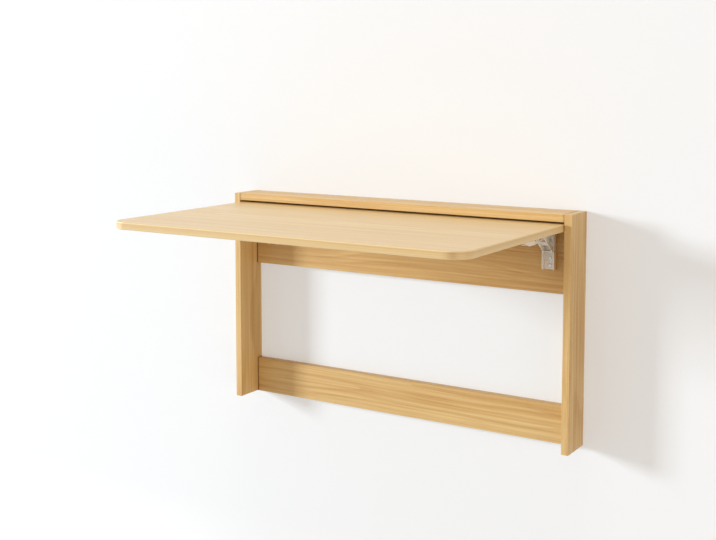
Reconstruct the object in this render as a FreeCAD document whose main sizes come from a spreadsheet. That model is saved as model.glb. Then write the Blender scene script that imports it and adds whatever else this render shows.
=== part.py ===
"""Fold-down wall desk: an open wooden frame, a drop-leaf desktop and two folding steel brackets.

The model's frame: X to the right, Y into the wall, Z up. The origin is on the wall plane, in the
middle of the four wall screw holes. Heights in the expressions below are measured from the bottom
of the frame, and every sub-part is lowered to the origin by its Placement.
"""
import FreeCAD, Part
import math
import os
import re
import Sketcher

Vector = FreeCAD.Vector

# Driving dimensions, in millimetres and degrees.
SIZES = {
    # wooden frame
    "frame_width": 950,
    "frame_height": 550,
    "post_depth": 92,
    "post_thickness": 18,
    "top_thickness": 18,
    "rail_thickness": 20,
    "upper_rail_height": 177,
    "lower_rail_height": 92,
    "board_rounding": 1,
    # desktop
    "desk_depth": 562,
    "desk_thickness": 17,
    "desk_side_gap": 2,
    "desk_top_gap": 5,
    "desk_rear_gap": 3,
    "desk_corner_radius": 45,
    "desk_rear_radius": 3,
    "desk_rounding": 2,
    # wall screw holes
    "fixing_drop": 62,
    "fixing_width": 406,
    "fixing_rise": 60,
    "fixing_radius": 2.75,
    "fixing_sink": 2.75,
    # dowels and cam fittings
    "dowel_radius": 4,
    "dowel_length": 30,
    "dowel_in_post": 11,
    "dowel_inset": 20,
    "blind_gap": 0.5,
    "cam_radius": 7.5,
    "cam_reach": 24,
    "cam_past_middle": 4,
    "cam_recess": 0.5,
    "cam_slot_width": 1.5,
    "cam_slot_length": 10,
    "cam_slot_depth": 2,
    "bolt_radius": 3.5,
    "bolt_thread_radius": 2.5,
    "bolt_in_post": 11,
    # folding brackets
    "bracket_inset": 60,
    "sheet": 2,
    "bend_radius": 2.5,
    "pivot_drop": 13,
    "swing_gap": 2,
    "pivot_radius": 3,
    "rivet_head_radius": 5.5,
    "rivet_head_height": 1.5,
    "rivet_head_rounding": 1.1,
    "leg_width": 30,
    "leg_depth": 15,
    "leg_length": 94,
    "leg_ear_radius": 8,
    "leg_ear_slope": 24,
    "leg_rounding": 4,
    "leg_screw_inset": 10,
    "leg_screw_below_foot": 16,
    "leg_screw_below_pivot": 20,
    "side_play": 0.5,
    "arm_reach": 195,
    "arm_waist_depth": 15.5,
    "arm_waist_reach": 45,
    "arm_belly_depth": 24.5,
    "arm_belly_start": 118,
    "arm_belly_end": 145,
    "arm_tip_depth": 8,
    "arm_rounding": 5,
    "arm_screw_first": 18,
    "arm_screw_pitch": 18,
    "arm_screw_last": 187,
    "arm_screw_outer_pitch": 13,
    # struts
    "foot_forward": 10,
    "foot_drop": 43,
    "foot_radius": 2.25,
    "strut_reach": 78,
    "strut_open_angle": 38,
    "strut_shut_angle": -83.5,
    "strut_width": 9,
    "strut_side_play": 0.5,
    "strut_web_start": 22,
    "strut_web_end": 36,
    "slide_radius": 2,
    "slide_head_radius": 4,
    "spacer_radius": 3.5,
    "spacer_play": 0.2,
    "slot_play": 0.1,
    "running_fit": 0.08,
    "tight_fit": 0.02,
    # locking springs
    "spring_sheet": 0.8,
    "spring_width": 14,
    "spring_reach": 168,
    "spring_flat": 16,
    "spring_drop": 2.6,
    "spring_hole_inset": 8,
    "nose_play": 0.35,
    "nose_overlap": 0.8,
    "tab_width": 12,
    "tab_reach": 128,
    "tab_drop": 12,
    "tab_lip": 11,
    "spring_rivet_radius": 1.5,
    "spring_rivet_head_radius": 3,
    "spring_rivet_head_height": 1,
    "spring_rivet_rounding": 0.7,
    # bracket screws
    "screw_radius": 2,
    "screw_hole_play": 0.2,
    "screw_grip": 14,
    "screw_head_radius": 4,
    "screw_head_height": 2,
    "screw_head_rounding": 1.2,
    "screw_socket_radius": 1.6,
    "screw_socket_depth": 1.2,
}

# Sizes and places that follow from the driving dimensions.
DERIVED = {
    "inner_width": "frame_width - 2 * post_thickness",
    "post_middle": "(inner_width + post_thickness) / 2",
    "rail_top": "frame_height - top_thickness",
    "fixing_height": "rail_top - fixing_drop",
    "rail_face": "-rail_thickness",
    "upper_rail_bottom": "rail_top - upper_rail_height",
    "desk_width": "inner_width - 2 * desk_side_gap",
    "desk_top": "rail_top - desk_top_gap",
    "desk_underside": "desk_top - desk_thickness",
    "desk_back": "rail_face - desk_rear_gap",
    "desk_front": "desk_back - desk_depth",
    "bracket_middle": "desk_width / 2 - bracket_inset",
    "pivot_y": "rail_face - pivot_drop - swing_gap",
    "pivot_z": "desk_underside - pivot_drop",
    "foot_y": "rail_face - foot_forward",
    "foot_z": "pivot_z - foot_drop",
    "slide_y": "foot_y - strut_reach * cos(strut_open_angle * 1 deg)",
    "slide_z": "foot_z + strut_reach * sin(strut_open_angle * 1 deg)",
    "inner_bend": "bend_radius - sheet",
    "leg_inner": "leg_width - 2 * sheet",
    "leg_web_front": "rail_face - sheet",
    "leg_front": "rail_face - leg_depth",
    "leg_top": "pivot_z + leg_ear_radius",
    "leg_bottom": "leg_top - leg_length",
    "arm_inner": "leg_width + 2 * side_play",
    "arm_width": "arm_inner + 2 * sheet",
    "arm_web": "desk_underside - sheet",
    "arm_tip": "pivot_y - arm_reach",
    "strut_outer": "leg_inner - 2 * strut_side_play",
    "strut_inner": "strut_outer - 2 * sheet",
    "spring_under": "arm_web - spring_sheet",
    "spring_end": "pivot_y - spring_reach",
    "spring_bend": "spring_end + spring_flat",
    "spring_hole": "spring_end + spring_hole_inset",
    "nose_y": "slide_y - slide_radius - nose_play",
    "nose_tip": "slide_z - nose_overlap",
    "tab_y": "pivot_y - tab_reach",
    "tab_bottom": "pivot_z - tab_drop",
    "rail_middle": "rail_face / 2",
    "top_middle": "frame_height - top_thickness / 2",
    "rail_cam_depth": "rail_thickness / 2 + cam_past_middle",
    "top_cam_depth": "top_thickness / 2 + cam_past_middle",
}

SIDES = {"left": -1, "right": 1}

# The three boards between the posts: the dowels' and the cam bolt's (y, z) at each end, and the
# face that the cam discs are let into.
BOARDS = {
    "top_board": {
        "dowels": [("-dowel_inset", "top_middle"), ("dowel_inset - post_depth", "top_middle")],
        "bolt": ("-post_depth / 2", "top_middle"),
        "cam_from": "below",
    },
    "upper_rail": {
        "dowels": [
            ("rail_middle", "upper_rail_bottom + dowel_inset"),
            ("rail_middle", "rail_top - dowel_inset"),
        ],
        "bolt": ("rail_middle", "(upper_rail_bottom + rail_top) / 2"),
        "cam_from": "behind",
    },
    "lower_rail": {
        "dowels": [
            ("rail_middle", "dowel_inset"),
            ("rail_middle", "lower_rail_height - dowel_inset"),
        ],
        "bolt": ("rail_middle", "lower_rail_height / 2"),
        "cam_from": "behind",
    },
}

# Places of the screws along each bracket.
LEG_SCREWS = [
    "leg_bottom + leg_screw_inset",
    "foot_z - leg_screw_below_foot",
    "pivot_z - leg_screw_below_pivot",
]
ARM_SCREWS = [
    "pivot_y - arm_screw_first",
    "pivot_y - arm_screw_first - arm_screw_pitch",
    "pivot_y - arm_screw_last + arm_screw_outer_pitch",
    "pivot_y - arm_screw_last",
]

# A cylinder or screw stands along Z until it is turned to one of these directions.
TURNS = {
    "x": FreeCAD.Rotation(Vector(0, 1, 0), 90),
    "y": FreeCAD.Rotation(Vector(1, 0, 0), -90),
    "z": FreeCAD.Rotation(),
}

doc = FreeCAD.newDocument("FoldDownDesk")
sheet = doc.addObject("Spreadsheet::Sheet", "Sizes")
for row, (alias, number) in enumerate(SIZES.items(), start=1):
    sheet.set(f"A{row}", alias.replace("_", " "))
    sheet.set(f"B{row}", str(number))
    sheet.setAlias(f"B{row}", alias)
doc.recompute()

nodes = []


def bound(text):
    """An expression in plain size names, pointed at the sheet, with the derived names written out."""
    def swap(match):
        word = match.group(0)
        if word in DERIVED:
            return f"({bound(DERIVED[word])})"
        return f"Sizes.{word}" if word in SIZES else word
    return re.sub(r"[a-z_]+", swap, text)


def value(text):
    """The present value of an expression in plain size names."""
    return float(sheet.evalExpression(bound(text)))


def place(obj, x="0", y="0", z="0", rotation=None):
    """Bind an object's position, with z measured from the bottom of the frame."""
    if rotation is not None:
        obj.Placement = FreeCAD.Placement(Vector(), rotation)
    for axis, text in (("x", x), ("y", y), ("z", f"{z} - fixing_height")):
        obj.setExpression(f"Placement.Base.{axis}", bound(text))


def keep(obj, name):
    """Name a finished sub-part, which is written out as a node."""
    obj.Label = name
    nodes.append(obj)
    return obj


# Part Design bodies

def new_body(name, x="0"):
    body = doc.addObject("PartDesign::Body", name + "_body")
    place(body, x=x)
    return body


def new_sketch(body, plane, offset="0"):
    sketch = body.newObject("Sketcher::SketchObject", "Sketch")
    origin_plane = next(p for p in body.Origin.OriginFeatures if p.Role == plane + "_Plane")
    sketch.AttachmentSupport = (origin_plane, [""])
    sketch.MapMode = "FlatFace"
    sketch.setExpression("AttachmentOffset.Base.z", bound(offset))
    return sketch


def fix_point(sketch, geometry, point, place_on_plane):
    """Hold one point of a sketch at a bound place, measured from the sketch's origin."""
    for kind, text in zip(("DistanceX", "DistanceY"), place_on_plane):
        constraint = Sketcher.Constraint(kind, -1, 1, geometry, point, value(text))
        number = sketch.addConstraint(constraint)
        sketch.setExpression(f"Constraints[{number}]", bound(text))


def outline(body, plane, points, offset="0"):
    """A closed polygon through points given as pairs of expressions."""
    sketch = new_sketch(body, plane, offset)
    corners = [Vector(value(a), value(b), 0) for a, b in points]
    count = len(corners)
    for i in range(count):
        sketch.addGeometry(Part.LineSegment(corners[i], corners[(i + 1) % count]), False)
    for i in range(count):
        sketch.addConstraint(Sketcher.Constraint("Coincident", i, 2, (i + 1) % count, 1))
    for i, point in enumerate(points):
        fix_point(sketch, i, 1, point)
    return sketch


def rectangle(body, plane, low, high, offset="0"):
    return outline(body, plane, [low, (high[0], low[1]), high, (low[0], high[1])], offset)


def circles(body, plane, centres, radius, offset="0"):
    sketch = new_sketch(body, plane, offset)
    for i, (a, b) in enumerate(centres):
        circle = Part.Circle(Vector(value(a), value(b), 0), Vector(0, 0, 1), value(radius))
        sketch.addGeometry(circle, False)
        fix_point(sketch, i, 3, (a, b))
        number = sketch.addConstraint(Sketcher.Constraint("Radius", i, value(radius)))
        sketch.setExpression(f"Constraints[{number}]", bound(radius))
    return sketch


def extrude(body, kind, sketch, length, symmetric, reverse):
    feature = body.newObject("PartDesign::" + kind, kind)
    feature.Profile = (sketch, [""])
    feature.SideType = "Symmetric" if symmetric else "One side"
    feature.Reversed = reverse
    feature.setExpression("Length", bound(length))
    doc.recompute()
    return feature


def pad(body, sketch, length, symmetric=False, reverse=False):
    return extrude(body, "Pad", sketch, length, symmetric, reverse)


def pocket(body, sketch, length, symmetric=False, reverse=False):
    return extrude(body, "Pocket", sketch, length, symmetric, reverse)


def dress(body, kind, prop, size, wanted):
    """Round or chamfer the edges of the body's last feature that `wanted` picks."""
    base = body.Tip
    names = [f"Edge{i}" for i, edge in enumerate(base.Shape.Edges, start=1) if wanted(edge)]
    if not names:
        raise RuntimeError(f"{body.Label}: no edge to dress")
    feature = body.newObject("PartDesign::" + kind, kind)
    feature.Base = (base, names)
    feature.setExpression(prop, bound(size))
    doc.recompute()
    return feature


def fillet(body, radius, wanted):
    return dress(body, "Fillet", "Radius", radius, wanted)


def runs_along(edge, axis):
    """Whether an edge is straight and parallel to the x, y or z axis."""
    if not isinstance(edge.Curve, Part.Line):
        return False
    return abs(getattr(edge.Curve.Direction, axis)) > 0.999


def is_on_channel(edge, half_width, **coordinates):
    """Whether an edge is one of the two inner bends of a channel across X."""
    return abs(abs(edge.BoundBox.Center.x) - half_width) < 0.001 and is_at(edge, **coordinates)


def is_at(edge, **coordinates):
    """Whether an edge's middle has the given coordinates."""
    middle = edge.BoundBox.Center
    return all(abs(getattr(middle, axis) - at) < 0.001 for axis, at in coordinates.items())


# Part primitives

def cylinder(radius, length, x="0", y="0", z="0", axis="z"):
    obj = doc.addObject("Part::Cylinder", "Cylinder")
    obj.setExpression("Radius", bound(radius))
    obj.setExpression("Height", bound(length))
    place(obj, x, y, z, TURNS[axis])
    return obj


def box(size, x, y, z):
    """A box around the given middle."""
    obj = doc.addObject("Part::Box", "Box")
    for prop, text in zip(("Length", "Width", "Height"), size):
        obj.setExpression(prop, bound(text))
    corner = [f"{at} - ({text}) / 2" for at, text in zip((x, y, z), size)]
    place(obj, *corner)
    return obj


def fuse(shapes):
    obj = doc.addObject("Part::MultiFuse", "Fuse")
    obj.Shapes = shapes
    return obj


def cut(base, tool):
    obj = doc.addObject("Part::Cut", "Cut")
    obj.Base = base
    obj.Tool = tool
    return obj


def soften(base, radius, wanted):
    """Round the edges of a primitive or boolean that `wanted` picks."""
    doc.recompute()
    obj = doc.addObject("Part::Fillet", "Rounded")
    obj.Base = base
    edges = enumerate(base.Shape.Edges, start=1)
    obj.Edges = [(i, value(radius), value(radius)) for i, edge in edges if wanted(edge)]
    return obj


def soft_head(radius, height, rounding, x, y, z, axis, outward):
    """A round head that starts at (x, y, z), with its outer rim rounded."""
    head = cylinder(radius, height, x, y, z, axis)
    doc.recompute()
    far = max if outward > 0 else min
    middles = [getattr(e.BoundBox.Center, axis) for e in head.Shape.Edges if not runs_along(e, axis)]
    rim = far(middles)
    return soften(head, rounding, lambda e: not runs_along(e, axis) and is_at(e, **{axis: rim}))


def group(shapes):
    """Like pieces kept as separate solids of one node."""
    obj = doc.addObject("Part::Compound", "Group")
    obj.Links = shapes
    return obj


# Wooden frame

def board_holes(body, plane_x, into_plus_x, depths):
    """Blind holes in a face across X: (centres, radius, depth) each, cut towards +X or -X."""
    for centres, radius, depth in depths:
        holes = circles(body, "YZ", centres, radius, offset=plane_x)
        pocket(body, holes, depth, reverse=into_plus_x)


def make_post(name, side):
    body = new_body(name, x=f"{side} * post_middle")
    half = "post_thickness / 2"
    section = rectangle(body, "XY", (f"-{half}", "-post_depth"), (half, "0"))
    pad(body, section, "frame_height")
    fillet(body, "board_rounding", lambda edge: True)
    dowels = [at for board in BOARDS.values() for at in board["dowels"]]
    bolts = [board["bolt"] for board in BOARDS.values()]
    board_holes(body, f"-{side} * {half}", side > 0, [
        (dowels, "dowel_radius + tight_fit", "dowel_in_post + blind_gap"),
        (bolts, "bolt_thread_radius + tight_fit", "bolt_in_post + blind_gap"),
    ])
    keep(body, name)


def cam_place(board, side):
    """The middle of a cam disc's open face, the direction it is let in and its depth."""
    y, z = BOARDS[board]["bolt"]
    x = f"{side} * (inner_width / 2 - cam_reach)"
    if BOARDS[board]["cam_from"] == "below":
        return (x, y, "rail_top + cam_recess"), "z", "top_cam_depth"
    return (x, "-rail_cam_depth - cam_recess", z), "y", "rail_cam_depth"


def make_board(name, low, high):
    """A board between the posts, with the holes for its dowels, cam bolts and cam discs."""
    body = new_body(name)
    half = "inner_width / 2"
    section = rectangle(body, "YZ", low, high)
    pad(body, section, "inner_width", symmetric=True)
    front = value(low[0])
    fillet(body, "board_rounding", lambda e: runs_along(e, "x") and is_at(e, y=front))
    for side in SIDES.values():
        board_holes(body, f"{side} * {half}", side < 0, [
            (BOARDS[name]["dowels"], "dowel_radius + tight_fit",
             "dowel_length - dowel_in_post + blind_gap"),
            ([BOARDS[name]["bolt"]], "bolt_radius + running_fit", "cam_reach"),
        ])
    across = [f"{side} * (inner_width / 2 - cam_reach)" for side in SIDES.values()]
    y, z = BOARDS[name]["bolt"]
    seat = "cam_radius + running_fit"
    if BOARDS[name]["cam_from"] == "below":
        seats = circles(body, "XY", [(x, y) for x in across], seat, offset="rail_top")
        pocket(body, seats, "top_cam_depth + cam_recess", reverse=True)
    else:
        seats = circles(body, "XZ", [(x, z) for x in across], seat)
        pocket(body, seats, "rail_cam_depth + cam_recess", reverse=True)
    return body


def make_top_board():
    low = ("-post_depth", "rail_top")
    keep(make_board("top_board", low, ("0", "frame_height")), "top_board")


def make_lower_rail():
    keep(make_board("lower_rail", ("rail_face", "0"), ("0", "lower_rail_height")), "lower_rail")


def make_upper_rail():
    """The rail behind the desktop, with the four countersunk wall screw holes."""
    body = make_board("upper_rail", ("rail_face", "upper_rail_bottom"), ("0", "rail_top"))
    centres = [
        (f"{side} * fixing_width / 2", f"fixing_height + {row} * fixing_rise / 2")
        for side in (-1, 1)
        for row in (-1, 1)
    ]
    holes = circles(body, "XZ", centres, "fixing_radius")
    pocket(body, holes, "4 * rail_thickness", symmetric=True)
    face, radius = value("rail_face"), value("fixing_radius")
    rims = lambda edge: (
        isinstance(edge.Curve, Part.Circle)
        and abs(edge.Curve.Radius - radius) < 0.001
        and is_at(edge, y=face)
    )
    dress(body, "Chamfer", "Size", "fixing_sink", rims)
    screw_pilots = [
        (f"{side} * bracket_middle", z) for side in SIDES.values() for z in LEG_SCREWS
    ]
    pilots = circles(body, "XZ", screw_pilots, "screw_radius + tight_fit", offset="rail_thickness")
    pocket(body, pilots, "screw_grip + blind_gap")
    keep(body, "upper_rail")


def make_joinery():
    """Dowels, cam bolts and cam discs at both ends of each board."""
    dowels, bolts, discs = [], [], []
    for side in SIDES.values():
        plane = f"{side} * inner_width / 2"
        for name, board in BOARDS.items():
            inner = "dowel_length - dowel_in_post" if side > 0 else "dowel_in_post"
            for y, z in board["dowels"]:
                start = f"{plane} - ({inner})"
                dowels.append(cylinder("dowel_radius", "dowel_length", start, y, z, "x"))
            y, z = board["bolt"]
            start = "cam_reach" if side > 0 else "0"
            thread = "0" if side > 0 else "bolt_in_post"
            bolts.append(fuse([
                cylinder("bolt_radius", "cam_reach", f"{plane} - {start}", y, z, "x"),
                cylinder("bolt_thread_radius", "bolt_in_post", f"{plane} - {thread}", y, z, "x"),
            ]))
            discs.append(make_cam(name, side))
    keep(group(dowels), "wood_dowels")
    keep(group(bolts), "cam_bolts")
    keep(group(discs), "cam_discs")


def make_cam(board, side):
    """A cam disc with its side bore for the bolt and a driver slot in its open face."""
    (x, y, z), axis, depth = cam_place(board, side)
    disc = cylinder("cam_radius", depth, x, y, z, axis)
    bolt_y, bolt_z = BOARDS[board]["bolt"]
    reach = "2 * cam_radius"
    bore_start = x if side > 0 else f"{x} - {reach}"
    bore = cylinder("bolt_radius + running_fit", reach, bore_start, bolt_y, bolt_z, "x")
    if axis == "z":
        slot = box(("cam_slot_width", "cam_slot_length", "2 * cam_slot_depth"), x, y, z)
    else:
        open_face = "-cam_recess"
        slot = box(("cam_slot_width", "2 * cam_slot_depth", "cam_slot_length"), x, open_face, z)
    return cut(cut(disc, bore), slot)


# Desktop

def make_desktop():
    body = new_body("desktop")
    half = "desk_width / 2"
    low, high = (f"-{half}", "desk_front"), (half, "desk_back")
    section = rectangle(body, "XY", low, high, offset="desk_underside")
    pad(body, section, "desk_thickness")
    front, back = value("desk_front"), value("desk_back")
    fillet(body, "desk_corner_radius", lambda e: runs_along(e, "z") and is_at(e, y=front))
    fillet(body, "desk_rear_radius", lambda e: runs_along(e, "z") and is_at(e, y=back))
    faces = (value("desk_underside"), value("desk_top"))
    fillet(body, "desk_rounding", lambda e: any(is_at(e, z=at) for at in faces))
    places = [(f"{side} * bracket_middle", y) for side in SIDES.values() for y in ARM_SCREWS]
    pilots = circles(body, "XY", places, "screw_radius + tight_fit", offset="desk_underside")
    pocket(body, pilots, "screw_grip + blind_gap", reverse=True)
    keep(body, "desktop")


# Folding brackets

def make_leg(name, x):
    """The channel that is screwed to the upper rail and carries the two lower pivots."""
    body = new_body(name, x)
    side_view = outline(body, "YZ", [
        ("rail_face", "leg_bottom"),
        ("leg_front", "leg_bottom"),
        ("leg_front", "pivot_z - leg_ear_slope"),
        ("pivot_y - leg_ear_radius", "pivot_z"),
        ("pivot_y", "leg_top"),
        ("rail_face", "leg_top"),
    ])
    pad(body, side_view, "leg_width", symmetric=True)
    ear = circles(body, "YZ", [("pivot_y", "pivot_z")], "leg_ear_radius")
    pad(body, ear, "leg_width", symmetric=True)
    back, front, bottom = value("rail_face"), value("leg_front"), value("leg_bottom")
    fillet(body, "leg_rounding", lambda e: runs_along(e, "x") and is_at(e, y=front, z=bottom))
    fillet(body, "bend_radius", lambda e: runs_along(e, "z") and is_at(e, y=back))
    past = "pivot_y - 2 * leg_ear_radius"
    channel = rectangle(
        body, "YZ", (past, "leg_bottom - sheet"), ("leg_web_front", "leg_top + sheet")
    )
    pocket(body, channel, "leg_inner", symmetric=True)
    web_front, inner = value("leg_web_front"), value("leg_inner / 2")
    fillet(body, "inner_bend", lambda e: runs_along(e, "z") and is_on_channel(e, inner, y=web_front))
    for centre, radius in (
        (("pivot_y", "pivot_z"), "pivot_radius + tight_fit"),
        (("foot_y", "foot_z"), "foot_radius + tight_fit"),
    ):
        pocket(body, circles(body, "YZ", [centre], radius), "2 * leg_width", symmetric=True)
    screws = circles(body, "XZ", [("0", z) for z in LEG_SCREWS], "screw_radius + screw_hole_play")
    pocket(body, screws, "4 * (rail_thickness + leg_depth)", symmetric=True)
    keep(body, name)


def make_arm(name, x):
    """The channel under the desktop, with the curved slots that the strut's pin slides in."""
    body = new_body(name, x)
    belly_bottom = "desk_underside - arm_belly_depth"
    waist_bottom = "desk_underside - arm_waist_depth"
    corners = [
        ("arm_tip", "desk_underside - arm_tip_depth"),
        ("pivot_y - arm_belly_end", belly_bottom),
        ("pivot_y - arm_belly_start", belly_bottom),
        ("pivot_y - arm_waist_reach", waist_bottom),
    ]
    side_view = outline(body, "YZ", [
        ("pivot_y", "desk_underside"),
        ("arm_tip", "desk_underside"),
        *corners,
        ("pivot_y", waist_bottom),
    ])
    pad(body, side_view, "arm_width", symmetric=True)
    rounded = [(value(y), value(z)) for y, z in corners]
    fillet(body, "arm_rounding", lambda e: runs_along(e, "x") and any(
        is_at(e, y=y, z=z) for y, z in rounded
    ))
    ear = circles(body, "YZ", [("pivot_y", "pivot_z")], "pivot_drop")
    pad(body, ear, "arm_width", symmetric=True)
    top = value("desk_underside")
    fillet(body, "bend_radius", lambda e: runs_along(e, "y") and is_at(e, z=top))
    channel = rectangle(
        body, "YZ",
        ("arm_tip - sheet", f"{belly_bottom} - sheet"),
        ("pivot_y + 2 * pivot_drop", "arm_web"),
    )
    pocket(body, channel, "arm_inner", symmetric=True)
    web_under, inner = value("arm_web"), value("arm_inner / 2")
    fillet(body, "inner_bend", lambda e: runs_along(e, "y") and is_on_channel(e, inner, z=web_under))
    pivot = circles(body, "YZ", [("pivot_y", "pivot_z")], "pivot_radius + running_fit")
    pocket(body, pivot, "2 * arm_width", symmetric=True)
    through = "4 * frame_height"
    screws = circles(body, "XY", [("0", y) for y in ARM_SCREWS], "screw_radius + screw_hole_play")
    pocket(body, screws, through, symmetric=True)
    rivet = circles(body, "XY", [("0", "spring_hole")], "spring_rivet_radius + tight_fit")
    pocket(body, rivet, through, symmetric=True)
    keep(cut(body, make_slot_tool(name + "_slot", x)), name)


def slide_pin_path(fold):
    """Where the slide pin is, as seen from the arm, when the desktop has turned by `fold` degrees.

    The strut turns at a steady ratio to the desktop, from its open angle to its shut angle, so
    the slot that follows this path lets both turn without play.
    """
    opened, shut = value("strut_open_angle"), value("strut_shut_angle")
    angle = math.radians(opened + (shut - opened) * fold / 90)
    reach = value("strut_reach")
    y = value("foot_y") - reach * math.cos(angle) - value("pivot_y")
    z = value("foot_z") + reach * math.sin(angle) - value("pivot_z")
    turn = math.radians(fold)
    return Vector(
        0,
        value("pivot_y") + y * math.cos(turn) + z * math.sin(turn),
        value("pivot_z") - y * math.sin(turn) + z * math.cos(turn),
    )


def make_slot_tool(name, x):
    """The solid that cuts the slots: the pin's path, widened by the pin's radius and its play."""
    half_width = value("slide_radius + slot_play")
    steps = 24
    folds = [90 * i / steps for i in range(steps + 1)]
    sides = {1: [], -1: []}
    ends = []
    small = 0.01
    width = value("2 * arm_width")
    for fold in folds:
        middle = slide_pin_path(fold) - Vector(width / 2, 0, 0)
        along = (slide_pin_path(fold + small) - slide_pin_path(fold - small)).normalize()
        across = Vector(0, -along.z, along.y)
        for side, points in sides.items():
            points.append(middle + across * side * half_width)
        if fold in (folds[0], folds[-1]):
            outward = -1 if fold == folds[0] else 1
            ends.append(middle + along * outward * half_width)
    edges = []
    for points in sides.values():
        curve = Part.BSplineCurve()
        curve.interpolate(points)
        edges.append(curve.toShape())
    for end, tip in zip((0, -1), ends):
        edges.append(Part.Arc(sides[1][end], tip, sides[-1][end]).toShape())
    wire = Part.Wire(Part.__sortEdges__(edges))
    tool = doc.addObject("Part::Feature", name)
    tool.Shape = Part.Face(wire).extrude(Vector(width, 0, 0))
    place(tool, x=x)
    return tool


def make_strut(name, x):
    """The channel link between the leg and the arm, drawn lying along -Y from its foot."""
    body = doc.addObject("PartDesign::Body", name + "_body")
    upward = FreeCAD.Rotation(Vector(-1, 0, 0), value("strut_open_angle"))
    place(body, x, "foot_y", "foot_z", upward)
    body.setExpression("Placement.Rotation.Angle", bound("strut_open_angle * 1 deg"))
    half = "strut_width / 2"
    ends = [("0", "0"), ("-strut_reach", "0")]
    bar = rectangle(body, "YZ", ("-strut_reach", f"-{half}"), ("0", half))
    pad(body, bar, "strut_outer", symmetric=True)
    for centre in ends:
        pad(body, circles(body, "YZ", [centre], half), "strut_outer", symmetric=True)
    past = "2 * strut_width"
    for low, high in (
        ((f"-strut_reach - {past}", f"-{past}"), (past, f"{half} - sheet")),
        (("-strut_web_start", f"-{past}"), (past, past)),
        ((f"-strut_reach - {past}", f"-{past}"), ("-strut_web_end", past)),
    ):
        pocket(body, rectangle(body, "YZ", low, high), "strut_inner", symmetric=True)
    for centre, radius in zip(ends, ("foot_radius + running_fit", "slide_radius + tight_fit")):
        pocket(body, circles(body, "YZ", [centre], radius), "2 * strut_outer", symmetric=True)
    keep(body, name)


def cross_pin(radius, length, x, y, z, head_radius=None):
    """A pin across the bracket, with flat heads where it has them."""
    pin = cylinder(radius, length, f"{x} - ({length}) / 2", y, z, "x")
    if head_radius is None:
        return pin
    ends = ((f"{x} + ({length}) / 2", 1), (f"{x} - ({length}) / 2 - rivet_head_height", -1))
    heads = [
        soft_head(head_radius, "rivet_head_height", "rivet_head_rounding", start, y, z, "x", outward)
        for start, outward in ends
    ]
    return fuse([pin, *heads])


def make_pins(side_name, x):
    """Pivot rivet, flush foot pin, slide pin and its two spacers."""
    across = "arm_width + 2 * spacer_play"
    pivot = cross_pin("pivot_radius", across, x, "pivot_y", "pivot_z", "rivet_head_radius")
    keep(pivot, side_name + "_pivot_rivet")
    keep(cross_pin("foot_radius", "leg_width", x, "foot_y", "foot_z"), side_name + "_foot_pin")
    slide = cross_pin("slide_radius", across, x, "slide_y", "slide_z", "slide_head_radius")
    keep(slide, side_name + "_slide_pin")
    width = "((arm_inner - strut_outer) / 2 - 2 * spacer_play)"
    inner_end = "(strut_outer / 2 + spacer_play)"
    spacers = []
    for start in (f"{x} + {inner_end}", f"{x} - {inner_end} - {width}"):
        ring = cylinder("spacer_radius", width, start, "slide_y", "slide_z", "x")
        bore = cylinder("slide_radius + tight_fit", width, start, "slide_y", "slide_z", "x")
        spacers.append(cut(ring, bore))
    keep(group(spacers), side_name + "_slide_spacers")


def make_lock_spring(side_name, x):
    """The leaf under the arm's web whose nose stands behind the slide pin, and its rivet."""
    name = side_name + "_lock_spring"
    body = new_body(name, x)
    leaf = outline(body, "YZ", [
        ("spring_end", "arm_web"),
        ("spring_end", "spring_under"),
        ("spring_bend", "spring_under"),
        ("nose_y - spring_sheet", "spring_under - spring_drop"),
        ("nose_y - spring_sheet", "nose_tip"),
        ("nose_y", "nose_tip"),
        ("nose_y", "arm_web - spring_drop"),
        ("spring_bend", "arm_web"),
    ])
    pad(body, leaf, "spring_width", symmetric=True)
    tab = outline(body, "YZ", [
        ("tab_y", "arm_web - spring_sheet / 2"),
        ("tab_y", "tab_bottom"),
        ("tab_y - tab_lip", "tab_bottom"),
        ("tab_y - tab_lip", "tab_bottom + spring_sheet"),
        ("tab_y - spring_sheet", "tab_bottom + spring_sheet"),
        ("tab_y - spring_sheet", "arm_web - spring_sheet / 2"),
    ])
    pad(body, tab, "tab_width", symmetric=True)
    rivet = circles(body, "XY", [("0", "spring_hole")], "spring_rivet_radius + tight_fit")
    pocket(body, rivet, "4 * frame_height", symmetric=True)
    keep(body, name)
    head_bottom = "spring_under - spring_rivet_head_height"
    shank = cylinder(
        "spring_rivet_radius", "sheet + spring_sheet", x, "spring_hole", "spring_under"
    )
    head = soft_head(
        "spring_rivet_head_radius", "spring_rivet_head_height", "spring_rivet_rounding",
        x, "spring_hole", head_bottom, "z", -1,
    )
    keep(fuse([shank, head]), side_name + "_spring_rivet")


def screw(seat, axis):
    """A pan head screw whose head lies against the sheet steel at `seat` and points along axis."""
    def shifted(distance):
        point = dict(zip("xyz", seat))
        point[axis] = f"{point[axis]} + {distance}"
        return point["x"], point["y"], point["z"]
    shank = cylinder("screw_radius", "sheet + screw_grip", *seat, axis)
    head = soft_head(
        "screw_head_radius", "screw_head_height", "screw_head_rounding",
        *shifted("-screw_head_height"), axis, -1,
    )
    socket = doc.addObject("Part::Prism", "Socket")
    socket.Polygon = 6
    socket.setExpression("Circumradius", bound("screw_socket_radius"))
    socket.setExpression("Height", bound("screw_socket_depth"))
    place(socket, *shifted("-screw_head_height"), TURNS[axis])
    return cut(fuse([shank, head]), socket)


def make_screws(side_name, x):
    legs = [screw((x, "leg_web_front", z), "y") for z in LEG_SCREWS]
    arms = [screw((x, y, "arm_web"), "z") for y in ARM_SCREWS]
    keep(group(legs), side_name + "_leg_screws")
    keep(group(arms), side_name + "_arm_screws")


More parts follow.
